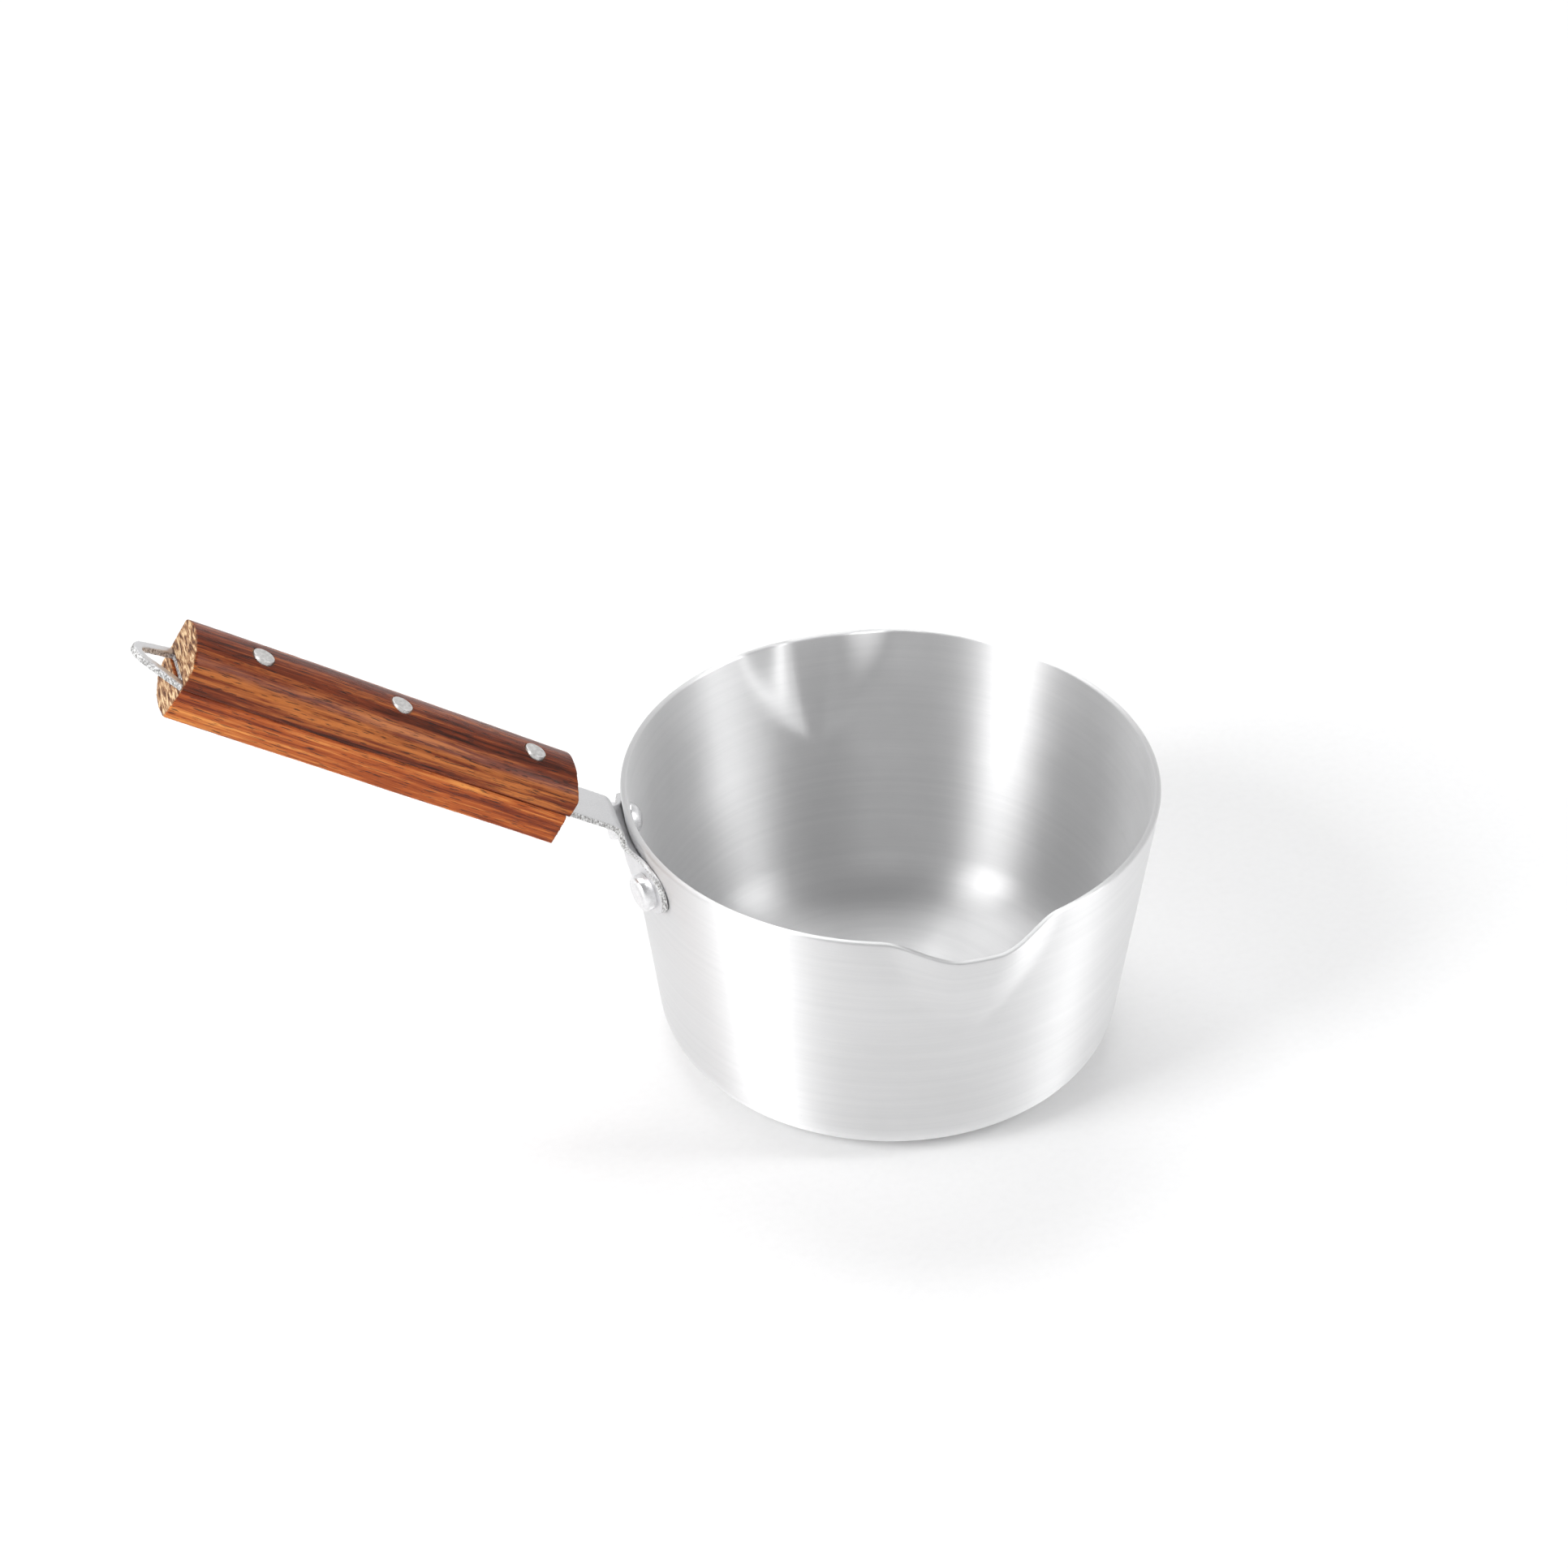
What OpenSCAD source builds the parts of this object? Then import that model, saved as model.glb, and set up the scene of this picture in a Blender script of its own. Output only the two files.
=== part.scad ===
// Candle melting pot: a spun pan with two pouring spouts, and a wooden handle riveted to a steel plate.
// The base stands on z = 0 with the pot's axis on Z. The handle points along +X, the spouts along +Y and -Y.

/* [Pot] */
// Outer diameter at the rim
rim_d = 160; // [130:1:200]
// Height from the base to the rim
pot_h = 89.2; // [72:0.1:110]
// Lean of the wall, outwards from the vertical, in degrees
wall_lean = 7.63; // [4:0.01:11]
// Thickness of the wall and the floor
wall_t = 1.9; // [1.2:0.1:2.6]
// Outer radius of the corner between the floor and the wall
corner_r = 15.3; // [8:0.1:22]
// Chamfer along both edges of the rim
rim_chamfer = 0.5; // [0.2:0.1:0.5]

/* [Spouts] */
// Half width of a spout at the rim, as an angle about the pot's axis
spout_half = 19.5; // [12:0.5:24]
// Distance that the lip is pushed out at the middle of a spout
spout_out = 5.4; // [2:0.1:7]
// Distance that the lip dips at the middle of a spout
spout_dip = 4.2; // [1:0.1:6]
// Turn of the two spouts from square with the handle, in degrees
spout_turn = 1.2; // [-3:0.1:3]
// Length of the bulge below the rim
spout_len = 34; // [22:1:44]

/* [Handle plate] */
// Thickness of the plate
plate_t = 2; // [1.5:0.1:3]
// Width of the neck between the pot and the wood
neck_w = 16; // [12:0.1:18]
// Width of the plate where it leaves the back of the wood
plate_back_w = 19.4; // [17:0.1:19.8]
// Length of the neck, from the bend's vertex to the front of the wood
neck_len = 16; // [14:0.1:30]
// Height of the bend's vertex above the rim
bend_rise = 3.4; // [2:0.1:8]
// Radius of the bend at the middle of the plate's thickness
bend_r = 5; // [3:0.5:6]
// Rise of the handle above the horizontal, in degrees
handle_angle = 31.3; // [15:0.1:40]
// Gap between the plate and the pot's wall just below the bend
stand_off = 2.4; // [1.5:0.1:4]
// Radius of the lobes around the bracket rivets
lobe_r = 7.8; // [6.5:0.1:8]
// Radius of the sweep from the neck to a lobe
sweep_r = 11; // [8:0.5:14]

/* [Hanging eye] */
// Length of the eye behind the wood
eye_len = 14.3; // [12:0.1:18]
// Radius of the eye's tip
eye_tip_r = 4.8; // [3:0.1:5]
// Width of the metal around the hole
eye_strand = 2.9; // [2:0.1:3]
// Upward set of the eye from the plate's plane, in degrees
eye_lift = 8; // [0:1:12]

/* [Wooden handle] */
// Length of the upper scale
wood_len = 126.3; // [100:0.1:150]
// Width at the back
wood_w = 21.6; // [21:0.1:26]
// Width at the front
wood_front_w = 20.6; // [19:0.1:24]
// Thickness of the upper scale at the back
upper_h = 12.9; // [11:0.1:16]
// Radius of the upper scale's crown
crown_r = 15.5; // [14:0.1:20]
// Sideways set of the crown's axis, away from the +Y side
crown_shift = 2; // [0:0.1:2.5]
// Lean of the crown towards the front, in degrees
crown_taper = 0.58; // [0:0.01:0.8]
// Backward lean of the upper scale's front end, in degrees
front_lean = 17; // [0:1:20]
// Length of the bevels at the sides of the upper scale's front end
front_bevel = 1.8; // [0.5:0.1:3]
// Thickness of the lower scale
lower_h = 11.9; // [9:0.1:14]
// Width of the lower scale's underside
under_w = 17.2; // [15:0.1:19]
// Distance that the lower scale stops short at the front, at the joint
lower_setback = 2.6; // [1.5:0.1:4]
// Forward lean of the lower scale's front end, in degrees
lower_lean = 7; // [0:1:8]

/* [Rivets] */
// Diameter of every rivet's shank
shank_d = 6.4; // [5:0.1:8]
// Angle of each bracket rivet from the handle, about the pot's axis
rivet_az = 12.8; // [12:0.1:16]
// Distance of the bracket rivets below the rim
rivet_drop = 12.1; // [10:0.1:20]
// Diameter of a bracket rivet's head
head_d = 11.2; // [10:0.1:12.5]
// Height of a bracket rivet's head
head_h = 3.6; // [3:0.1:6]
// Diameter of a bracket rivet's tail inside the pot
tail_d = 10; // [9:0.1:12]
// Height of the tail's dome
tail_h = 3; // [2:0.1:4]
// Distance from the front of the wood to the first handle rivet
rivet_start = 17.1; // [12:0.1:20]
// Distance between the handle rivets
rivet_pitch = 44.05; // [34:0.05:50]
// Distance that the handle rivets stand out of the wood
rivet_proud = 0.2; // [0.1:0.1:0.6]

/* [Fits] */
// Clearance around a rivet's shank
shank_clear = 0.05; // [0.02:0.01:0.2]
// Clearance between the plate and the pot or the wood
plate_clear = 0.1; // [0.05:0.05:0.3]

/* [Hidden] */
$fn = 96;

rim_r = rim_d / 2;
slope = tan(wall_lean);
rivet_z = pot_h - rivet_drop;
spout_steps = 32;
spout_rows = 11;
sector = spout_half + 2;
spout_floor = pot_h - spout_len - spout_dip;
// Extra skin of the pressed spouts over the spun wall, so that the two join on a clean step
skin = 0.06;
// Overlap of the spouts with the spun wall around them, in degrees and in millimetres
lap = 0.5;

// Outer radius of the plain wall at height z
function wall_r(z) = rim_r - (pot_h - z) * slope;
// Radius of curvature of the plain wall at the bracket rivets, square to its surface
curve_r = wall_r(rivet_z) / cos(wall_lean);
// Horizontal width of the wall
wall_x = wall_t / cos(wall_lean);
// Smooth step from 0 to 1
function ease(u) = let(v = min(1, max(0, u))) v * v * (3 - 2 * v);

// ---------- pot ----------

// Half section of the pot's outside, or of its inside when inset by the wall
module pot_section(inset) {
  r = corner_r - inset;
  side_inset = inset / cos(wall_lean);
  flare = inset > 0 ? -rim_chamfer : rim_chamfer;
  // The corner's centre lies corner_r inside both the floor line and the wall line
  cx = wall_r(corner_r) - corner_r / cos(wall_lean);
  cz = corner_r;
  polygon([
    [0, inset],
    [cx, inset],
    [cx, cz],
    [cx + r * cos(wall_lean), cz - r * sin(wall_lean)],
    [wall_r(pot_h - rim_chamfer) - side_inset, pot_h - rim_chamfer],
    [rim_r - side_inset - flare, pot_h],
    [rim_r - side_inset - flare, pot_h + 1],
    [0, pot_h + 1]
  ]);
  translate([cx, cz]) circle(r);
}

// Plain pan: floor, rounded corner and leaning wall
module plain_pan() {
  rotate_extrude($fn = 180)
    intersection() {
      difference() {
        pot_section(0);
        pot_section(wall_t);
      }
      square([rim_d, pot_h]);
    }
}

// Share of a spout's width over which its middle stays level
spout_level = 0.16;
// Share of the full spout at angle a from its middle, where s falls from 1 at the lip to 0 at the bulge's foot
function spout_share(a, s) =
  let(half = spout_half * pow(sin(90 * s), 0.8))
  half > 0 ? ease((1 - abs(a) / half) / (1 - spout_level)) * pow(s, 1.2) : 0;
function lip_share(a) = spout_share(a, 1);
// Height of the lip at angle a from the middle of the spout
function lip_z(a) = pot_h - spout_dip * lip_share(a);

// One point of the spout: k runs over the rows up the wall, inset is the distance in from the outside
function spout_point(a, k, inset, drop = 0) =
  let(
    s = k / spout_rows,
    u = s * (lip_z(a) - spout_floor - drop),
    z_plain = spout_floor + s * (pot_h - spout_floor - drop),
    r = wall_r(z_plain) - inset + spout_out * spout_share(a, pow(s, 1.1))
  )
  [r * sin(a - spout_turn), r * cos(a - spout_turn), spout_floor + u];

// Closed section of the spout's wall at angle a: up the outside, over the lip and down the inside
function spout_section(a) = concat(
  [for (k = [0:spout_rows]) spout_point(a, k, -skin, rim_chamfer)],
  [
    spout_point(a, spout_rows, rim_chamfer, -skin),
    spout_point(a, spout_rows, wall_x - rim_chamfer, -skin)
  ],
  [for (k = [spout_rows:-1:0]) spout_point(a, k, wall_x + skin, rim_chamfer)]
);

// Sheet-metal spout over its sector of the wall, facing +Y
module spout() {
  count = 2 * spout_rows + 4;
  angles = [for (i = [0:spout_steps]) sector * (2 * i / spout_steps - 1)];
  points = [for (a = angles) each spout_section(a)];
  sides = [
    for (i = [0:spout_steps - 1], j = [0:count - 1])
      let(p = i * count + j, q = i * count + (j + 1) % count)
        each [[p, p + count, q], [q, p + count, q + count]]
  ];
  first_cap = [for (j = [0:count - 1]) j];
  last_cap = [for (j = [count - 1:-1:0]) spout_steps * count + j];
  polyhedron(points, concat(sides, [first_cap, last_cap]), convexity = 6);
}

// Wedge of space that a spout takes the place of, facing +Y
module spout_sector() {
  corners = [for (a = (sector - lap) * [-1, 1]) 2 * rim_r * [sin(a - spout_turn), cos(a - spout_turn)]];
  translate([0, 0, spout_floor + lap]) linear_extrude(pot_h) polygon(concat([[0, 0]], corners));
}

module pot_body() {
  color("#d9dadb")
    difference() {
      union() {
        difference() {
          plain_pan();
          for (turn = [0, 180]) rotate(turn) spout_sector();
        }
        for (turn = [0, 180]) rotate(turn) spout();
      }
      for (side = [-1, 1]) at_bracket_rivet(side) rivet_hole(30);
    }
}

// ---------- frames that the pieces share ----------

// Axis of a bracket rivet: the origin is on the wall's outside, and +Z points away from the wall
module at_bracket_rivet(side) {
  rotate(side * rivet_az)
    translate([wall_r(rivet_z), 0, rivet_z])
      rotate([0, 90 + wall_lean, 0])
        children();
}

// Frame of the wall at the rivets' height: +X points away from the wall and +Z runs up along it
module on_wall() {
  translate([wall_r(rivet_z), 0, rivet_z])
    rotate([0, wall_lean, 0])
      children();
}

// Height of the bend's vertex above the rivets, along the wall, and its distance from the wall
vertex_x = plate_clear + stand_off + plate_t / 2;
vertex_z = (rivet_drop + bend_rise + vertex_x * sin(wall_lean)) / cos(wall_lean);

// Frame of the handle: the origin is where the plate's middle plane meets the front of the wood
module on_handle() {
  on_wall()
    translate([vertex_x, 0, vertex_z])
      rotate([0, -handle_angle - wall_lean, 0])
        translate([neck_len, 0, 0])
          children();
}

module rivet_hole(length) {
  cylinder(h = length, d = shank_d + 2 * shank_clear, center = true);
}

// Positions of the handle rivets behind the front of the wood
rivet_x = [for (i = [0:2]) rivet_start + i * rivet_pitch];

// ---------- handle plate ----------

// Distance of the plate's inner face from the wall's middle line at width y, where the plate follows the wall
function seat_x(y) = sqrt(pow(curve_r + plate_clear, 2) - y * y) - curve_r;
lobe_y = curve_r * sin(rivet_az);

// The same distance at height z: towards the bend, the plate's middle stands off and turns almost flat
function apron_x(y, z) =
  let(
    across = 1 - ease((abs(y) - flat_half) / (lobe_y - flat_half)),
    lift = 0.99 * across * ease((z - lift_z) / (level_z - lift_z))
  )
  seat_x(y) + (plate_clear + stand_off - seat_x(y)) * lift;

// Apron before it is cut to its outline: rings of points, one above the other
module apron() {
  edge_y = lobe_y + lobe_r + 2;
  right = concat([for (i = [0:3]) flat_half * i / 4], [for (i = [0:16]) flat_half + (edge_y - flat_half) * i / 16]);
  widths = concat([for (i = [len(right) - 1:-1:1]) -right[i]], right);
  heights = concat(
    [-2 * lobe_r],
    [for (i = [0:10]) lift_z + (level_z - lift_z) * i / 10],
    [wing_top]
  );
  count = 2 * len(widths);
  points = [
    for (z = heights) each concat(
      [for (y = widths) [apron_x(y, z), y, z]],
      [for (i = [len(widths) - 1:-1:0]) [apron_x(widths[i], z) + plate_t, widths[i], z]]
    )
  ];
  sides = [
    for (i = [0:len(heights) - 2], j = [0:count - 1])
      let(p = i * count + j, q = i * count + (j + 1) % count)
        each [[p, q, p + count], [q, q + count, p + count]]
  ];
  last = (len(heights) - 1) * count;
  bottom = [for (j = [0:len(widths) - 2]) let(k = count - 1 - j) each [[j, k, j + 1], [j + 1, k, k - 1]]];
  top = [for (f = bottom) [last + f[0], last + f[2], last + f[1]]];
  polyhedron(points, concat(sides, bottom, top), convexity = 4);
}

bend_angle = 90 - handle_angle - wall_lean;
bend_tangent = bend_r * tan(bend_angle / 2);

// Height of the sweep's centre, which is tangent to the neck's edge and to the lobe
sweep_y = neck_w / 2 + sweep_r;
sweep_z = sqrt(pow(sweep_r + lobe_r, 2) - pow(sweep_y - lobe_y, 2));
// Height of the wings' top, just under the bend, and the outline's half width there
wing_top = vertex_z - bend_tangent - 0.5;
wing_fall = max(0, sweep_z - wing_top);
slab_half = sweep_y - sqrt(sweep_r * sweep_r - wing_fall * wing_fall) + 0.2;
flat_half = slab_half + 0.2;
// Height above which the apron leaves the wall, just over the rivets' heads, and height where its middle is flat
lift_z = head_d / 2 + 0.2;
level_z = wing_top - 1;
// Thinning of each face of the bend and the neck, so that their ends lie inside the apron and the strip
bend_thin = 0.06;
// Point where the sweep meets the lobe
meet_y = lobe_y + (sweep_y - lobe_y) * lobe_r / (sweep_r + lobe_r);
meet_z = sweep_z * lobe_r / (sweep_r + lobe_r);

// Outline of the apron and the neck, as (width, height along the wall)
module apron_outline() {
  notch_r = 60;
  difference() {
    union() {
      polygon([
        [0, 0],
        [lobe_y, 0],
        [meet_y, meet_z],
        [sweep_y, sweep_z],
        [neck_w / 2, sweep_z],
        [neck_w / 2, 2 * sweep_z],
        [-neck_w / 2, 2 * sweep_z],
        [-neck_w / 2, sweep_z],
        [-sweep_y, sweep_z],
        [-meet_y, meet_z],
        [-lobe_y, 0]
      ]);
      translate([-lobe_y, -lobe_r]) square([2 * lobe_y, lobe_r]);
      for (side = [-1, 1]) translate([side * lobe_y, 0]) circle(lobe_r);
    }
    for (side = [-1, 1]) translate([side * sweep_y, sweep_z]) circle(sweep_r);
    // Shallow hollow between the lobes
    translate([0, -lobe_r + 2 - notch_r]) circle(notch_r, $fn = 180);
  }
}

// Distance that the parallel neck runs in between the scales
neck_end = 10;

// Arc of the bend at radius r, about the bend's centre, from the apron to the neck
function bend_arc(r) = [for (i = [0:12]) let(a = 180 - bend_angle * i / 12) [r * cos(a), r * sin(a)]];

// Side view of the apron's top, the bend and the neck, about the bend's centre
module bracket_side() {
  inner = bend_arc(bend_r + plate_t / 2 - bend_thin);
  outer = bend_arc(bend_r - plate_t / 2 + bend_thin);
  rise = handle_angle + wall_lean;
  run = (neck_len + neck_end - bend_tangent) * [cos(rise), sin(rise)];
  foot = -1;
  polygon(concat(
    [[inner[0].x, foot]],
    inner,
    [inner[12] + run, outer[12] + run],
    [for (i = [12:-1:0]) outer[i]],
    [[outer[0].x, foot]]
  ));
}

// Apron, bend and neck
module bracket() {
  on_wall()
    intersection() {
      union() {
        apron();
        translate([vertex_x + bend_r, slab_half, vertex_z - bend_tangent])
          rotate([90, 0, 0])
            linear_extrude(2 * slab_half)
              bracket_side();
      }
      translate([-50, 0, 0])
        rotate([90, 0, 90])
          linear_extrude(150)
            apron_outline();
    }
}

// Plan of the tapered strip between the scales, grown on each side by a clearance.
// It starts in the wood, just inside the neck's edges, widens past them, and stops short of the wood's back.
module strip_plan(grow, last) {
  front = neck_w / 2 - 0.1 + grow;
  back = plate_back_w / 2 - 0.02 + grow;
  polygon([[3, -front], [wood_len - last, -back], [wood_len - last, back], [3, front]]);
}

// Angle between the eye's side and the handle's axis, for a side tangent to a tip of radius r
function eye_side(root, length, r) = atan(root / (length - r)) - asin(r / norm([root, length - r]));

// Rounded triangle with its root on x = 0
module eye_shape(root, length, r) {
  side = eye_side(root, length, r);
  tip = length - r;
  polygon([
    [0, -root],
    [tip + r * sin(side), -r * cos(side)],
    [tip, 0],
    [tip + r * sin(side), r * cos(side)],
    [0, root]
  ]);
  translate([tip, 0]) circle(r);
}

// Length of the eye's root inside the wood
eye_root = 2;

// Triangular hanging eye behind the wood
module eye() {
  hole_start = -1;
  linear_extrude(plate_t, center = true)
    difference() {
      union() {
        eye_shape(plate_back_w / 2, eye_len, eye_tip_r);
        translate([-eye_root, -plate_back_w / 2]) square([eye_root, plate_back_w]);
      }
      translate([hole_start, 0])
        eye_shape(plate_back_w / 2 - eye_strand, eye_len - eye_strand - hole_start, eye_tip_r / 2);
    }
}

module handle_plate() {
  color("#b9babb")
    difference() {
      union() {
        bracket();
        on_handle() {
          linear_extrude(plate_t, center = true) strip_plan(0, 1);
          translate([wood_len, 0, 0]) rotate([0, -eye_lift, 0]) eye();
        }
      }
      for (side = [-1, 1]) at_bracket_rivet(side) rivet_hole(30);
      on_handle() for (x = rivet_x) translate([x, 0, 0]) rivet_hole(30);
    }
}

// ---------- wooden scales ----------

// Space for the plate between the scales
module plate_groove() {
  linear_extrude(plate_t + 2 * plate_clear, center = true) {
    strip_plan(plate_clear, -1);
    translate([-2, -neck_w / 2 - plate_clear]) square([neck_end + 2 + plate_clear, neck_w + 2 * plate_clear]);
  }
  translate([wood_len, 0, 0])
    rotate([0, -eye_lift, 0])
      translate([-eye_root - plate_clear, -plate_back_w / 2 - plate_clear, -plate_t / 2 - plate_clear])
        cube([eye_root + 3, plate_back_w + 2 * plate_clear, plate_t + 2 * plate_clear]);
}

// Plan of a scale, wide enough in front for a leaning end to be cut from it
module scale_plan(start) {
  grow = (wood_w - wood_front_w) / 2 / wood_len;
  front = wood_front_w / 2 + grow * start;
  polygon([[start, -front], [wood_len, -wood_w / 2], [wood_len, wood_w / 2], [start, front]]);
}

// Space in front of an end that leans back by an angle, cut through the joint at a distance along it
module front_cut(start, lean) {
  translate([start, 0, 0]) rotate([0, lean, 0]) translate([-40, -50, -50]) cube([40, 100, 100]);
}

// Space beside the bevelled front corner of the upper scale, on the +Y side
module corner_cut() {
  translate([front_bevel, wood_front_w / 2, -1])
    rotate(-atan(front_bevel / 4))
      translate([-10, -20, 0])
        cube([10, 40, 40]);
}

module upper_scale() {
  color("#7a4a34")
    on_handle()
      difference() {
        intersection() {
          linear_extrude(upper_h + 1) scale_plan(0);
          translate([wood_len, -crown_shift, upper_h])
            rotate([0, -crown_taper, 0])
              translate([-wood_len - 5, 0, -crown_r])
                rotate([0, 90, 0])
                  cylinder(h = wood_len + 10, r = crown_r, $fn = 180);
        }
        front_cut(0, front_lean);
        corner_cut();
        mirror([0, 1, 0]) corner_cut();
        plate_groove();
        for (x = rivet_x) translate([x, 0, 0]) rivet_hole(60);
      }
}

// Section of the lower scale: sides that lean in, and an underside rounded off in flats on the -Y side
module lower_section() {
  half = under_w / 2;
  shoulder = (wood_w - under_w) / 2;
  polygon([
    [-wood_w / 2 - shoulder, lower_h],
    [-wood_w / 2, -lower_h / 2 + 1],
    [-half, -lower_h + 3.4],
    [-half / 2, -lower_h + 1.1],
    [half / 4, -lower_h],
    [half, -lower_h + 1],
    [wood_w / 2 + shoulder, lower_h]
  ]);
}

module lower_scale() {
  color("#a2562b")
    on_handle()
      difference() {
        intersection() {
          translate([0, 0, -lower_h - 1]) linear_extrude(lower_h + 1) scale_plan(0);
          rotate([90, 0, 90]) linear_extrude(wood_len + 10) lower_section();
        }
        front_cut(lower_setback, lower_lean);
        plate_groove();
        for (x = rivet_x) translate([x, 0, 0]) rivet_hole(60);
      }
}

// ---------- rivets ----------

// Flat-faced head with a rounded edge, standing on z = 0
module rivet_head() {
  edge = head_h / 3;
  rotate_extrude() {
    square([head_d / 2 - edge, head_h]);
    square([head_d / 2, head_h - edge]);
    translate([head_d / 2 - edge, head_h - edge]) circle(edge);
  }
}

// Domed tail, hanging from z = 0
module rivet_tail() {
  dome_r = (pow(tail_d / 2, 2) + tail_h * tail_h) / (2 * tail_h);
  rotate_extrude()
    intersection() {
      translate([0, dome_r - tail_h]) circle(dome_r);
      translate([0, -tail_h]) square([tail_d / 2, tail_h]);
    }
}

// The flat back of the tail meets the hollow side of the wall at its edges
inner_r = curve_r - wall_t;
tail_seat = wall_t + inner_r - sqrt(inner_r * inner_r - tail_d * tail_d / 4);

module bracket_rivet(side) {
  head_seat = plate_clear + plate_t;
  color("#e2e3e4")
    at_bracket_rivet(side) {
      translate([0, 0, head_seat]) rivet_head();
      translate([0, 0, -tail_seat]) cylinder(h = tail_seat + head_seat, d = shank_d);
      translate([0, 0, -tail_seat]) rivet_tail();
    }
}

module bracket_rivet_left() {
  bracket_rivet(1);
}

module bracket_rivet_right() {
  bracket_rivet(-1);
}

// Shank through both scales and the plate, with flat ends just proud of the wood
module handle_rivet(index) {
  x = rivet_x[index];
  crown = sqrt(crown_r * crown_r - pow(max(0, crown_shift - shank_d / 2), 2)) - crown_r;
  top = upper_h + crown - (wood_len - x) * tan(crown_taper) + rivet_proud;
  bottom = -lower_h - rivet_proud;
  color("#c9cacb")
    on_handle()
      translate([x, 0, bottom])
        cylinder(h = top - bottom, d = shank_d);
}

module handle_rivet_front() {
  handle_rivet(0);
}

module handle_rivet_middle() {
  handle_rivet(1);
}

module handle_rivet_rear() {
  handle_rivet(2);
}

pot_body();
handle_plate();
upper_scale();
lower_scale();
bracket_rivet_left();
bracket_rivet_right();
handle_rivet_front();
handle_rivet_middle();
handle_rivet_rear();
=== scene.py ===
"""Candle melting pot: a satin aluminium pan with two pouring lips and a riveted hardwood handle."""

import math

import bmesh
import bpy
from mathutils import Matrix, Vector, noise


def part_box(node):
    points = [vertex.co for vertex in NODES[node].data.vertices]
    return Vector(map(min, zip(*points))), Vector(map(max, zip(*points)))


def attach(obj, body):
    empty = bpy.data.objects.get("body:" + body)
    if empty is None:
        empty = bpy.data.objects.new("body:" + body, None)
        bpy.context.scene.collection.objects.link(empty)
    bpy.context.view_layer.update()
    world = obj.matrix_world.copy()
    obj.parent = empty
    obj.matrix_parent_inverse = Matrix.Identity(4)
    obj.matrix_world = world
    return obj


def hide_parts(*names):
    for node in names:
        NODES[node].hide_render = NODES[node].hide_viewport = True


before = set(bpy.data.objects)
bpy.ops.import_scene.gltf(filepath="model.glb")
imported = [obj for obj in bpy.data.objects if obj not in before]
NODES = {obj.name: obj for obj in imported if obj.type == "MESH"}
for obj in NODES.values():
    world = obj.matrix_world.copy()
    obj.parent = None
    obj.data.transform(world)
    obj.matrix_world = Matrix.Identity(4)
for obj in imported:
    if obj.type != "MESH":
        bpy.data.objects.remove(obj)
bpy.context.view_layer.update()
MM = 0.001

# ---------------------------------------------------------------- sizes, in millimetres

RIM_R = 80.0  # outside radius at the lip
POT_H = 89.2
WALL_LEAN = math.radians(7.63)
WALL_T = 1.9
CORNER_R = 15.3  # outside radius of the corner between base and wall
LIP_ROUND = 0.7  # radius of the lip's two edges
BASE_RINGS = (0, 18, 36, 48)  # radii of the flat base's rings
FLOOR_RINGS = (0, 12, 24, 36, 46)

SPOUT_HALF = 19.5  # degrees from a spout's middle to its side, at the lip
SPOUT_LEVEL = 0.16  # share of that width over which the spout is at its full size
SPOUT_OUT = 5.4  # how far the lip is pushed out
SPOUT_DIP = 4.2  # how far the lip is lowered
SPOUT_LEN = 34.0  # height of the bulge below the dipped lip
SPOUT_TURN = 1.2  # degrees that the two spouts are turned from +Y and -Y

HANDLE_ANGLE = math.radians(31.3)  # rise of the handle
HANDLE_FRONT = Vector((97.658, 0, 100.912))  # middle of the wood's front end, where the scales meet
BEND_START = -17.4  # along the handle from HANDLE_FRONT, where the plate leaves the wall's direction
BEND_LEN = 6.0

RIVET_AZ = math.radians(12.8)  # each bracket rivet's angle from the handle, seen from above
RIVET_Z = 77.1
HEAD_R = 5.6
HEAD_H = 3.6
TAIL_R = 5.0
TAIL_H = 3.0
PLATE_SEAT = 2.1  # from the wall to the plate's outer face, where a rivet head sits
SHANK_R = 3.2  # radius of the handle's three pins

# ---------------------------------------------------------------- fineness of the meshes

TURN_STEPS = 288
WALL_ROWS = 44
CORNER_STEPS = 16
LIP_STEPS = 5
RIVET_STEPS = 48
PLATE_VOXEL = 0.32
WOOD_VOXEL = 0.42
SOFTEN_PASSES = 3
ON_AXIS = 1e-9  # a smaller radius than this is a point on the axis

# ---------------------------------------------------------------- camera

# Angles in degrees, distances in metres, lens in millimetres
CAM_AZIMUTH = 163.0
CAM_ELEVATION = 37.703
CAM_DISTANCE = 1.2774
CAM_TARGET_Z = 0.040
CAM_PAN = 1.785
CAM_TILT = 1.703
CAM_ROLL = -0.283
CAM_LENS = 96.894
CAM_SENSOR = 36


def add_camera():
    """Camera on a sphere round the pot, then panned, tilted and rolled a little off its centre."""
    data = bpy.data.cameras.new("camera")
    data.lens = CAM_LENS
    data.sensor_width = CAM_SENSOR
    data.clip_start = 0.05
    data.clip_end = 20
    cam = bpy.data.objects.new("camera", data)
    bpy.context.scene.collection.objects.link(cam)
    heading = Matrix.Rotation(math.radians(CAM_AZIMUTH), 4, "Z")
    el = math.radians(CAM_ELEVATION)
    back = Vector((0, -math.cos(el), math.sin(el))) * CAM_DISTANCE
    place = heading @ Matrix.Translation(back + Vector((0, 0, CAM_TARGET_Z)))
    pan = Matrix.Rotation(math.radians(CAM_PAN), 4, "Z")
    tip = Matrix.Rotation(math.radians(90 - CAM_ELEVATION + CAM_TILT), 4, "X")
    roll = Matrix.Rotation(math.radians(CAM_ROLL), 4, "Z")
    cam.matrix_world = place @ pan @ tip @ roll
    bpy.context.scene.camera = cam


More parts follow.
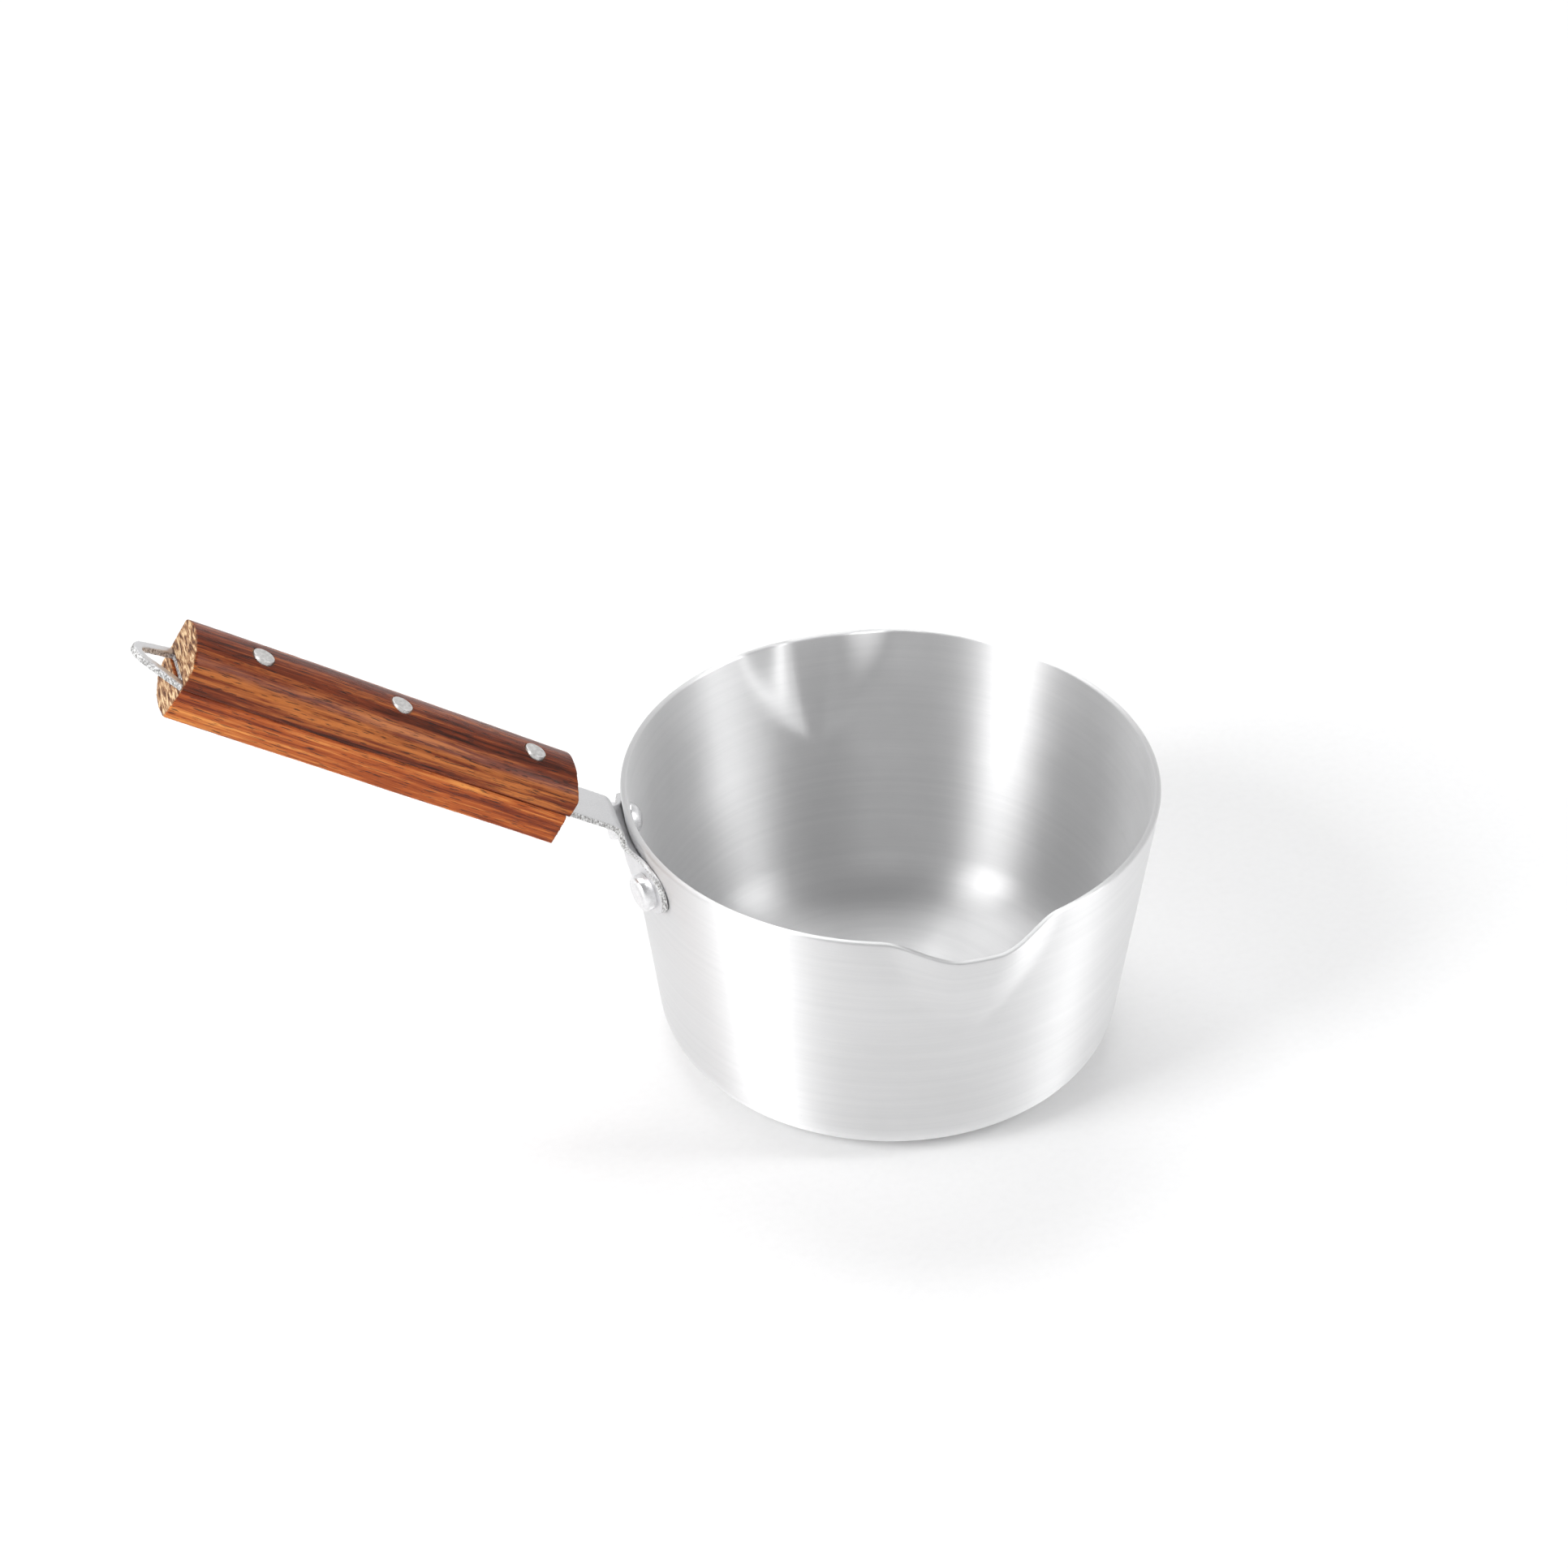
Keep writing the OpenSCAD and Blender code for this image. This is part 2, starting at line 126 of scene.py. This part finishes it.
# ---------------------------------------------------------------- mesh helpers

def new_object(name, bm, material, smooth_angle=40):
    """Object from a bmesh, shaded smooth except over edges sharper than smooth_angle."""
    mesh = bpy.data.meshes.new(name)
    bm.normal_update()
    bm.to_mesh(mesh)
    bm.free()
    obj = bpy.data.objects.new(name, mesh)
    bpy.context.scene.collection.objects.link(obj)
    mesh.materials.append(material)
    for poly in mesh.polygons:
        poly.use_smooth = True
    mesh.set_sharp_from_angle(angle=math.radians(smooth_angle))
    return obj


def place(obj, body="root", slot=None, replaces=()):
    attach(obj, body)
    if replaces:
        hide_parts(*replaces)


def apply_modifiers(obj):
    """Replaces an object's mesh by its evaluated mesh."""
    graph = bpy.context.evaluated_depsgraph_get()
    mesh = bpy.data.meshes.new_from_object(obj.evaluated_get(graph))
    obj.modifiers.clear()
    obj.data = mesh


def bridge(bm, rings):
    """Faces between neighbouring rings of vertices; a ring of one vertex closes to a point."""
    steps = max(len(ring) for ring in rings)
    for low, high in zip(rings, rings[1:]):
        for i in range(steps):
            j = (i + 1) % steps
            corners = [low[i % len(low)], low[j % len(low)], high[j % len(high)], high[i % len(high)]]
            loop = list(dict.fromkeys(corners))
            if len(loop) > 2:
                bm.faces.new(loop)


def lathe(bm, outline, steps, matrix):
    """Turns an outline of (radius, height) points about Z; points on the axis become a single vertex."""
    rings = []
    for r, z in outline:
        if r < ON_AXIS:
            rings.append([bm.verts.new(matrix @ Vector((0, 0, z)))])
            continue
        ring = []
        for i in range(steps):
            a = 2 * math.pi * i / steps
            ring.append(bm.verts.new(matrix @ Vector((r * math.cos(a), r * math.sin(a), z))))
        rings.append(ring)
    bridge(bm, rings)


def arc(cx, cz, r, start, end, steps):
    """Points on an arc from one angle to another, in degrees."""
    angles = [math.radians(start + (end - start) * i / steps) for i in range(steps + 1)]
    return [(cx + r * math.cos(a), cz + r * math.sin(a)) for a in angles]


def ease(u):
    """Smooth step from 0 to 1 as u goes from 0 to 1."""
    u = min(1.0, max(0.0, u))
    return u * u * (3 - 2 * u)


# ---------------------------------------------------------------- shader helpers

class Shader:
    """Short calls for building one material's nodes."""

    def __init__(self, name):
        self.material = bpy.data.materials.new(name)
        self.material.use_nodes = True
        self.tree = self.material.node_tree
        self.surface = self.tree.nodes["Principled BSDF"]

    def node(self, kind, **settings):
        made = self.tree.nodes.new(kind)
        for key, value in settings.items():
            setattr(made, key, value)
        return made

    def link(self, source, target):
        if isinstance(source, bpy.types.NodeSocket):
            self.tree.links.new(source, target)
        elif isinstance(source, (int, float)) and hasattr(target.default_value, "__len__"):
            target.default_value = [source] * len(target.default_value)
        else:
            target.default_value = source

    def set(self, **values):
        """Sets or links the surface's inputs, with _ for each space in an input's name."""
        for key, value in values.items():
            self.link(value, self.surface.inputs[key.replace("_", " ")])

    def coords(self, scale=(1, 1, 1), origin=(0, 0, 0), tilt=0.0):
        """Object position, in millimetres, in a frame at origin that is tilted about Y, then scaled."""
        tc = self.node("ShaderNodeTexCoord")
        into = self.node("ShaderNodeMapping", vector_type="TEXTURE")
        into.inputs["Location"].default_value = [v * MM for v in origin]
        into.inputs["Rotation"].default_value = (0, tilt, 0)
        into.inputs["Scale"].default_value = (MM, MM, MM)
        self.link(tc.outputs["Object"], into.inputs["Vector"])
        stretch = self.node("ShaderNodeMapping")
        stretch.inputs["Scale"].default_value = scale
        self.link(into.outputs["Vector"], stretch.inputs["Vector"])
        return stretch.outputs["Vector"]

    def attribute(self, name):
        """A share from 0 to 1 that add_share stored on the mesh."""
        return self.node("ShaderNodeAttribute", attribute_name=name).outputs["Fac"]

    def math(self, operation, a, b=0.0):
        made = self.node("ShaderNodeMath", operation=operation)
        self.link(a, made.inputs[0])
        self.link(b, made.inputs[1])
        return made.outputs[0]

    def weighted(self, *layers):
        """Sum of (value, weight) layers."""
        total = 0.0
        for value, weight in layers:
            total = self.math("ADD", total, self.math("MULTIPLY", value, weight))
        return total

    def noise(self, vector, scale=1.0, detail=2.0, roughness=0.5, distortion=0.0):
        made = self.node("ShaderNodeTexNoise")
        self.link(vector, made.inputs["Vector"])
        made.inputs["Scale"].default_value = scale
        made.inputs["Detail"].default_value = detail
        made.inputs["Roughness"].default_value = roughness
        made.inputs["Distortion"].default_value = distortion
        return made.outputs["Fac"]

    def spread(self, value, low, high, to_low=0.0, to_high=1.0):
        """Maps value from low..high to to_low..to_high, clamped and smooth."""
        made = self.node("ShaderNodeMapRange", interpolation_type="SMOOTHSTEP")
        self.link(value, made.inputs["Value"])
        made.inputs["From Min"].default_value = low
        made.inputs["From Max"].default_value = high
        made.inputs["To Min"].default_value = to_low
        made.inputs["To Max"].default_value = to_high
        return made.outputs["Result"]

    def ramp(self, value, stops):
        """Colour ramp through (position, colour) stops."""
        made = self.node("ShaderNodeValToRGB")
        self.link(value, made.inputs["Fac"])
        elements = made.color_ramp.elements
        for element, (position, color) in zip(elements, (stops[0], stops[-1])):
            element.position = position
            element.color = (*color, 1)
        for position, color in stops[1:-1]:
            elements.new(position).color = (*color, 1)
        return made.outputs["Color"]

    def mix(self, factor, a, b):
        """Mixes colour a towards colour b; each is a socket or three numbers."""
        made = self.node("ShaderNodeMix", data_type="RGBA")
        self.link(factor, made.inputs["Factor"])
        for value, socket in ((a, made.inputs["A"]), (b, made.inputs["B"])):
            self.link((*value, 1) if isinstance(value, tuple) else value, socket)
        return made.outputs["Result"]

    def bump(self, *layers):
        """Stacks (height, distance in mm) layers into the surface's normal."""
        normal = None
        for height, distance in layers:
            made = self.node("ShaderNodeBump")
            made.inputs["Distance"].default_value = distance * MM
            self.link(height, made.inputs["Height"])
            if normal:
                self.link(normal, made.inputs["Normal"])
            normal = made.outputs["Normal"]
        self.link(normal, self.surface.inputs["Normal"])

    def cylinder_coords(self, vector):
        """(radius, angle, height) of a vector about Z."""
        split = self.node("ShaderNodeSeparateXYZ")
        self.link(vector, split.inputs[0])
        x, y, z = split.outputs
        squares = self.math("ADD", self.math("MULTIPLY", x, x), self.math("MULTIPLY", y, y))
        return self.math("SQRT", squares), self.math("ARCTAN2", y, x), z

    def combine(self, x, y, z):
        made = self.node("ShaderNodeCombineXYZ")
        for value, socket in zip((x, y, z), made.inputs):
            self.link(value, socket)
        return made.outputs[0]


# ---------------------------------------------------------------- materials

ALONG_HANDLE = {"origin": HANDLE_FRONT, "tilt": -HANDLE_ANGLE}


def spun_aluminium():
    """Satin aluminium with fine lathe lines round the pot's axis, faint bands and a few pits."""
    s = Shader("spun_aluminium")
    tangent = s.node("ShaderNodeTangent", direction_type="RADIAL", axis="Z")
    s.set(Metallic=1.0, Anisotropic=0.92, Anisotropic_Rotation=0.25, Tangent=tangent.outputs[0])
    position = s.coords()
    radius, angle, height = s.cylinder_coords(position)
    across = s.math("ADD", radius, height)
    lines = s.noise(s.combine(s.math("MULTIPLY", angle, 1.2), across, 0.0), 5.0, 3.0, 0.65)
    bands = s.noise(s.combine(s.math("MULTIPLY", angle, 0.5), across, 0.0), 0.45, 2.0)
    cloud = s.noise(position, 0.05, 3.0)
    pits = s.spread(s.noise(position, 1.6, 2.0, 0.6), 0.74, 0.80)
    tone = s.weighted((lines, 0.6), (bands, 0.4))
    color = s.ramp(tone, [(0.30, (0.80, 0.802, 0.806)), (0.70, (0.87, 0.87, 0.872))])
    color = s.mix(s.math("MULTIPLY", pits, 0.35), color, (0.45, 0.45, 0.46))
    rough = s.math("ADD", s.spread(lines, 0.3, 0.7, 0.42, 0.50), s.spread(cloud, 0.3, 0.7, 0.0, 0.05))
    s.set(Base_Color=color, Roughness=rough)
    s.bump((lines, 0.003), (s.math("MULTIPLY", pits, -1.0), 0.03))
    return s.material


def sheared_plate():
    """Matt grey sheet metal, with a rough torn look on its sheared edges."""
    s = Shader("sheared_plate")
    edge = s.attribute("edge")
    grain = s.noise(s.coords(), 3.5, 4.0, 0.7)
    torn = s.noise(s.coords(scale=(1, 1, 0.6)), 1.9, 4.0, 0.75)
    face = s.ramp(grain, [(0.3, (0.66, 0.66, 0.67)), (0.7, (0.82, 0.82, 0.83))])
    ragged = s.ramp(torn, [(0.36, (0.16, 0.155, 0.15)),
                           (0.50, (0.58, 0.575, 0.57)),
                           (0.62, (0.92, 0.92, 0.92))])
    rough = s.math("ADD", s.spread(grain, 0.3, 0.7, 0.36, 0.50), s.math("MULTIPLY", edge, 0.08))
    s.set(Metallic=1.0, Base_Color=s.mix(edge, face, ragged), Roughness=rough)
    s.bump((grain, 0.02), (s.math("MULTIPLY", torn, edge), 0.25))
    return s.material


def rivet_metal():
    """Bright turned aluminium with light handling marks."""
    s = Shader("rivet_metal")
    position = s.coords()
    marks = s.noise(position, 1.3, 4.0, 0.7)
    fine = s.noise(position, 7.0, 3.0, 0.6)
    color = s.ramp(marks, [(0.3, (0.76, 0.76, 0.77)), (0.7, (0.93, 0.93, 0.935))])
    s.set(Metallic=1.0, Base_Color=color, Roughness=s.spread(fine, 0.3, 0.7, 0.26, 0.38))
    s.bump((marks, 0.03), (fine, 0.008))
    return s.material


def ground_rivet():
    """Pale matt end of a handle rivet, ground flush with the wood and scratched along it."""
    s = Shader("ground_rivet")
    scratches = s.noise(s.coords(scale=(6, 0.6, 6), **ALONG_HANDLE), 1.0, 4.0, 0.7)
    marks = s.noise(s.coords(), 1.0, 4.0, 0.65)
    color = s.ramp(marks, [(0.3, (0.50, 0.49, 0.48)), (0.7, (0.76, 0.75, 0.74))])
    s.set(Metallic=1.0, Base_Color=color, Roughness=s.spread(scratches, 0.3, 0.7, 0.42, 0.58))
    s.bump((scratches, 0.02))
    return s.material


def wood_streaks(s, seed):
    """Long drifting streaks; seed moves to another stretch of the same pattern."""
    drift = s.noise(s.coords(scale=(0.02, 0.05, 0.05), **ALONG_HANDLE), 1.0, 2.0)
    shifted = s.node("ShaderNodeVectorMath", operation="ADD")
    s.link(s.coords(scale=(0.022, 0.62, 0.62), **ALONG_HANDLE), shifted.inputs[0])
    s.link(s.combine(seed, s.math("MULTIPLY", drift, 2.2), seed), shifted.inputs[1])
    return s.noise(shifted.outputs[0], 1.0, 5.0, 0.62, 0.4)


def end_grain(s):
    """Pale sawn end of the wood, striped across the handle."""
    stripes = s.noise(s.coords(scale=(0.15, 0.22, 1.1), **ALONG_HANDLE), 1.0, 3.0, 0.6, 0.3)
    return s.ramp(stripes, [(0.38, (0.09, 0.032, 0.016)),
                            (0.50, (0.36, 0.18, 0.085)),
                            (0.61, (0.78, 0.56, 0.33))])


def hardwood(name, dark, middle, light, seed):
    """Oiled open-pored hardwood, with its grain along the handle and sawn ends."""
    s = Shader(name)
    s.set(Coat_Weight=0.10, Coat_Roughness=0.25, Specular_IOR_Level=0.12)
    streaks = wood_streaks(s, seed)
    fibres = s.noise(s.coords(scale=(0.09, 2.6, 2.6), **ALONG_HANDLE), 1.0, 3.0, 0.65)
    figure = s.noise(s.coords(scale=(0.008, 0.13, 0.13), **ALONG_HANDLE), 1.0, 1.0)
    speckle = s.noise(s.coords(scale=(0.22, 3.0, 3.0), **ALONG_HANDLE), 1.0, 1.0, 0.4)
    pores = s.spread(speckle, 0.61, 0.70)
    tone = s.weighted((streaks, 0.55), (fibres, 0.15), (figure, 0.30))
    color = s.ramp(tone, [(0.39, dark), (0.50, middle), (0.61, light)])
    color = s.mix(s.math("MULTIPLY", pores, 0.75), color, (0.02, 0.012, 0.012))
    end = s.attribute("end")
    rough = s.math("ADD", s.spread(fibres, 0.3, 0.7, 0.30, 0.42), s.math("MULTIPLY", end, 0.25))
    s.set(Base_Color=s.mix(end, color, end_grain(s)), Roughness=rough)
    s.bump((fibres, 0.03), (s.math("MULTIPLY", pores, -1.0), 0.12))
    return s.material


def upper_hardwood():
    return hardwood("upper_hardwood", dark=(0.040, 0.008, 0.004), middle=(0.19, 0.036, 0.012),
                    light=(0.50, 0.155, 0.038), seed=3.0)


def lower_hardwood():
    return hardwood("lower_hardwood", dark=(0.16, 0.024, 0.007), middle=(0.43, 0.095, 0.020),
                    light=(0.78, 0.30, 0.075), seed=11.0)


def floor_paper():
    """Seamless pale paper."""
    s = Shader("floor_paper")
    fine = s.noise(s.coords(), 0.4, 3.0)
    color = s.ramp(fine, [(0.3, (0.93, 0.93, 0.93)), (0.7, (0.95, 0.95, 0.95))])
    s.set(Base_Color=color, Roughness=0.9, Specular_IOR_Level=0.1)
    return s.material


# ---------------------------------------------------------------- pot

def wall_r(z):
    """Outside radius of the leaning wall."""
    return RIM_R - (POT_H - z) * math.tan(WALL_LEAN)


def wall_rows(start, end, count, inset):
    """Points up the wall from start to end, without the first, moved in from its outside."""
    heights = [start + (end - start) * i / WALL_ROWS for i in range(1, count + 1)]
    return [(wall_r(z) - inset, z) for z in heights]


def spout_share(angle, s):
    """Share of the full spout, for degrees from its middle and s from 0 at the bulge's foot to 1 at the lip."""
    if s <= 0:
        return 0.0
    half = SPOUT_HALF * math.sin(math.pi / 2 * s) ** 0.8
    return ease((1 - abs(angle) / half) / (1 - SPOUT_LEVEL)) * s ** 1.2


def pot_outline():
    """Half section of the plain pan, as (radius, height): up the outside, over the lip, down to the floor."""
    cx = wall_r(CORNER_R) - CORNER_R / math.cos(WALL_LEAN)
    lean = math.degrees(WALL_LEAN)
    inset = WALL_T / math.cos(WALL_LEAN)
    top = POT_H - LIP_ROUND
    outside = [(r, 0.0) for r in BASE_RINGS]
    outside += arc(cx, CORNER_R, CORNER_R, -90, -lean, CORNER_STEPS)
    outside += wall_rows(outside[-1][1], top, WALL_ROWS, 0.0)
    lip = arc(wall_r(top) - LIP_ROUND, top, LIP_ROUND, 0, 90, LIP_STEPS)[1:]
    lip += arc(wall_r(top) - inset + LIP_ROUND, top, LIP_ROUND, 90, 180, LIP_STEPS)
    inside = [(r, WALL_T) for r in FLOOR_RINGS]
    inside += arc(cx, CORNER_R, CORNER_R - WALL_T, -90, -lean, CORNER_STEPS)
    inside += wall_rows(inside[-1][1], top, WALL_ROWS - 1, inset)
    return outside + lip + inside[::-1]


def pot_point(r, z, angle):
    """Moves a point of the plain pan, at an angle in degrees, to where the pressed spouts put it."""
    off = (angle - SPOUT_TURN) % 180 - 90
    s = max(0.0, 1 - (POT_H - z) / (SPOUT_LEN + SPOUT_DIP))
    push = SPOUT_OUT * spout_share(off, s ** 1.1)
    sink = SPOUT_DIP * spout_share(off, 1.0) * s
    a = math.radians(angle)
    return Vector(((r + push) * math.cos(a), (r + push) * math.sin(a), z - sink)) * MM


def build_pot(material):
    bm = bmesh.new()
    angles = [360 * i / TURN_STEPS for i in range(TURN_STEPS)]
    rings = []
    for r, z in pot_outline():
        if r < ON_AXIS:
            rings.append([bm.verts.new((0, 0, z * MM))])
        else:
            rings.append([bm.verts.new(pot_point(r, z, a)) for a in angles])
    bridge(bm, rings)
    pot = new_object("pot", bm, material, 60)
    place(pot, slot="aluminium", replaces=["pot_body"])


# ---------------------------------------------------------------- handle plate and wood

HANDLE = Matrix.Translation(HANDLE_FRONT * MM) @ Matrix.Rotation(-HANDLE_ANGLE, 4, "Y")
INTO_HANDLE = HANDLE.inverted()


def remeshed(node, name, voxel, material):
    """A fine even mesh of a CAD solid, with its sharp edges a little rounded."""
    obj = bpy.data.objects.new(name, NODES[node].data.copy())
    bpy.context.scene.collection.objects.link(obj)
    obj.data.materials.clear()
    obj.data.materials.append(material)
    remesh = obj.modifiers.new("remesh", "REMESH")
    remesh.mode = "VOXEL"
    remesh.voxel_size = voxel * MM
    relax = obj.modifiers.new("smooth", "SMOOTH")
    relax.factor = 0.5
    relax.iterations = SOFTEN_PASSES
    apply_modifiers(obj)
    for poly in obj.data.polygons:
        poly.use_smooth = True
    return obj


def points_and_normals(mesh):
    """Copies of every vertex's position and normal."""
    normals = [n.vector.copy() for n in mesh.vertex_normals]
    return [(v.co.copy(), n) for v, n in zip(mesh.vertices, normals)]


def add_share(obj, name, value_of):
    """Stores a number from 0 to 1 on each vertex, worked out from its position and normal."""
    values = [value_of(co, normal) for co, normal in points_and_normals(obj.data)]
    layer = obj.data.attributes.new(name, "FLOAT", "POINT")
    layer.data.foreach_set("value", values)


def push_out(obj, height_of):
    """Moves every vertex along its normal, by a height worked out from its position, both in millimetres."""
    moved = []
    for co, normal in points_and_normals(obj.data):
        moved.extend(co + normal * (height_of(co / MM) * MM))
    obj.data.vertices.foreach_set("co", moved)
    obj.data.update()


def build_plate(material):
    plate = remeshed("handle_plate", "plate", PLATE_VOXEL, material)
    strip_normal = HANDLE.to_3x3() @ Vector((0, 0, 1))

    def edge_share(co, normal):
        """1 on a sheared edge, 0 on the sheet's two faces, which look off the wall or the handle's plane."""
        outward = Vector((co.x, co.y, 0)).normalized()
        wall_normal = outward * math.cos(WALL_LEAN) - Vector((0, 0, math.sin(WALL_LEAN)))
        on_neck = ease(((INTO_HANDLE @ co).x / MM - BEND_START) / BEND_LEN)
        facing = max(abs(normal.dot(strip_normal)), (1 - on_neck) * abs(normal.dot(wall_normal)))
        return 1 - ease((facing - 0.45) / 0.4)

    def dents(p):
        return noise.noise(p * 0.9) * 0.05 + noise.noise(p * 0.25) * 0.08

    add_share(plate, "edge", edge_share)
    push_out(plate, dents)
    place(plate, slot="plate_steel", replaces=["handle_plate"])


def build_scale(node, name, material):
    scale = remeshed(node, name, WOOD_VOXEL, material)
    along = HANDLE.to_3x3() @ Vector((1, 0, 0))

    def end_share(co, normal):
        return ease((abs(normal.dot(along)) - 0.55) / 0.3)

    def hand_sanded(p):
        long_waves = noise.noise(Vector((p.x * 0.03, p.y * 0.12, p.z * 0.03)))
        return long_waves * 0.18 + noise.noise(p * 0.35) * 0.04

    add_share(scale, "end", end_share)
    push_out(scale, hand_sanded)
    place(scale, slot=name, replaces=[node])


# ---------------------------------------------------------------- rivets

def head_outline():
    """Set head: hidden foot in the plate, short straight side, rounded edge and nearly flat top."""
    top = PLATE_SEAT + HEAD_H
    edge = HEAD_H / 3
    foot = PLATE_SEAT - 1.0
    outline = [(0, foot), (HEAD_R - 0.6, foot), (HEAD_R - 0.25, PLATE_SEAT), (HEAD_R, PLATE_SEAT + 0.3)]
    outline += arc(HEAD_R - edge, top - edge, edge, 0, 90, 8)
    outline += [(HEAD_R - edge - 0.35, top - 0.12), (1.5, top - 0.05), (0, top - 0.04)]
    return outline


def tail_outline():
    """Domed tail, a slice of a sphere that starts a little under the wall's inner face."""
    seat = -WALL_T - 0.15
    hidden = seat + 0.4
    dome = (TAIL_R ** 2 + TAIL_H ** 2) / (2 * TAIL_H)
    half = math.degrees(math.asin(TAIL_R / dome))
    rim = arc(0, seat + dome - TAIL_H, dome, -90, -90 + half, 10)[1:]
    return [(0, seat - TAIL_H)] + rim + [(TAIL_R, hidden), (0, hidden)]


def build_bracket_rivet(side, node, material):
    """Round head outside the bracket and a domed tail inside the pot; side is 1 at +Y and -1 at -Y."""
    bm = bmesh.new()
    az = side * RIVET_AZ
    spot = Vector((wall_r(RIVET_Z) * math.cos(az), wall_r(RIVET_Z) * math.sin(az), RIVET_Z)) * MM
    axis = Matrix.Rotation(az, 4, "Z") @ Matrix.Rotation(math.pi / 2 + WALL_LEAN, 4, "Y")
    at = Matrix.Translation(spot) @ axis @ Matrix.Scale(MM, 4)
    lathe(bm, head_outline(), RIVET_STEPS, at)
    lathe(bm, tail_outline(), RIVET_STEPS, at)
    bmesh.ops.recalc_face_normals(bm, faces=bm.faces)
    rivet = new_object("head_and_tail_" + node, bm, material, 50)
    place(rivet, slot="rivet", replaces=[node])


def pin_end(half):
    """One ground end of a pin that reaches half its length: worn edge and very slight crown."""
    return [
        (SHANK_R, half - 0.25),
        (SHANK_R - 0.08, half - 0.08),
        (SHANK_R - 0.3, half),
        (1.2, half + 0.03),
        (0, half + 0.04),
    ]


def build_handle_rivet(node, material):
    """Pin as long as its CAD solid, whose ends are flush with the crown above and the flat below."""
    low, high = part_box(node)
    centre = INTO_HANDLE @ ((low + high) / 2)
    length = (high.z - low.z - 2 * SHANK_R * MM * math.sin(HANDLE_ANGLE)) / math.cos(HANDLE_ANGLE) / MM
    bm = bmesh.new()
    at = HANDLE @ Matrix.Translation((centre.x, 0, centre.z)) @ Matrix.Scale(MM, 4)
    upper = pin_end(length / 2)
    lower = [(r, -z) for r, z in reversed(upper)]
    lathe(bm, lower + upper, RIVET_STEPS, at)
    bmesh.ops.recalc_face_normals(bm, faces=bm.faces)
    rivet = new_object("pin_" + node, bm, material, 50)
    place(rivet, slot="rivet", replaces=[node])


# ---------------------------------------------------------------- studio

def add_area(name, location, target, size, power):
    data = bpy.data.lights.new(name, "AREA")
    data.shape = "RECTANGLE"
    data.size, data.size_y = size
    data.energy = power
    lamp = bpy.data.objects.new(name, data)
    bpy.context.scene.collection.objects.link(lamp)
    lamp.location = location
    aim = Vector(target) - Vector(location)
    lamp.rotation_mode = "QUATERNION"
    lamp.rotation_quaternion = aim.to_track_quat("-Z", "Y")


def add_world():
    """Light tent: bright round the horizon, greyer overhead."""
    world = bpy.data.worlds.new("studio")
    world.use_nodes = True
    nodes, links = world.node_tree.nodes, world.node_tree.links
    direction = nodes.new("ShaderNodeTexCoord")
    split = nodes.new("ShaderNodeSeparateXYZ")
    links.new(direction.outputs["Generated"], split.inputs[0])
    ramp = nodes.new("ShaderNodeValToRGB")
    links.new(split.outputs["Z"], ramp.inputs["Fac"])
    horizon, zenith = ramp.color_ramp.elements
    horizon.position = 0.10
    horizon.color = (0.98, 0.98, 0.98, 1)
    zenith.position = 0.85
    zenith.color = (0.30, 0.30, 0.305, 1)
    links.new(ramp.outputs["Color"], nodes["Background"].inputs["Color"])
    nodes["Background"].inputs["Strength"].default_value = 1.0
    bpy.context.scene.world = world


def add_studio(material):
    bm = bmesh.new()
    bmesh.ops.create_grid(bm, x_segments=2, y_segments=2, size=4.0)
    floor = new_object("studio_floor", bm, material)
    add_world()
    add_area("overhead", (-0.1, -0.9, 1.7), (0, 0, 0), (1.4, 0.8), 13)
    add_area("key", (1.75, 0.53, 1.2), (0, 0, 0.05), (0.75, 1.1), 26)
    add_area("fill", (-1.55, 0.66, 1.2), (0, 0, 0.05), (0.28, 1.1), 10)
    scene = bpy.context.scene
    scene.view_settings.view_transform = "Standard"
    scene.view_settings.look = "None"
    scene.view_settings.exposure = 0.0


# ---------------------------------------------------------------- build

add_camera()
build_pot(spun_aluminium())
build_plate(sheared_plate())
build_scale("upper_scale", "upper_wood", upper_hardwood())
build_scale("lower_scale", "lower_wood", lower_hardwood())
turned = rivet_metal()
build_bracket_rivet(1, "bracket_rivet_left", turned)
build_bracket_rivet(-1, "bracket_rivet_right", turned)
ground = ground_rivet()
for where in ("front", "middle", "rear"):
    build_handle_rivet("handle_rivet_" + where, ground)
add_studio(floor_paper())
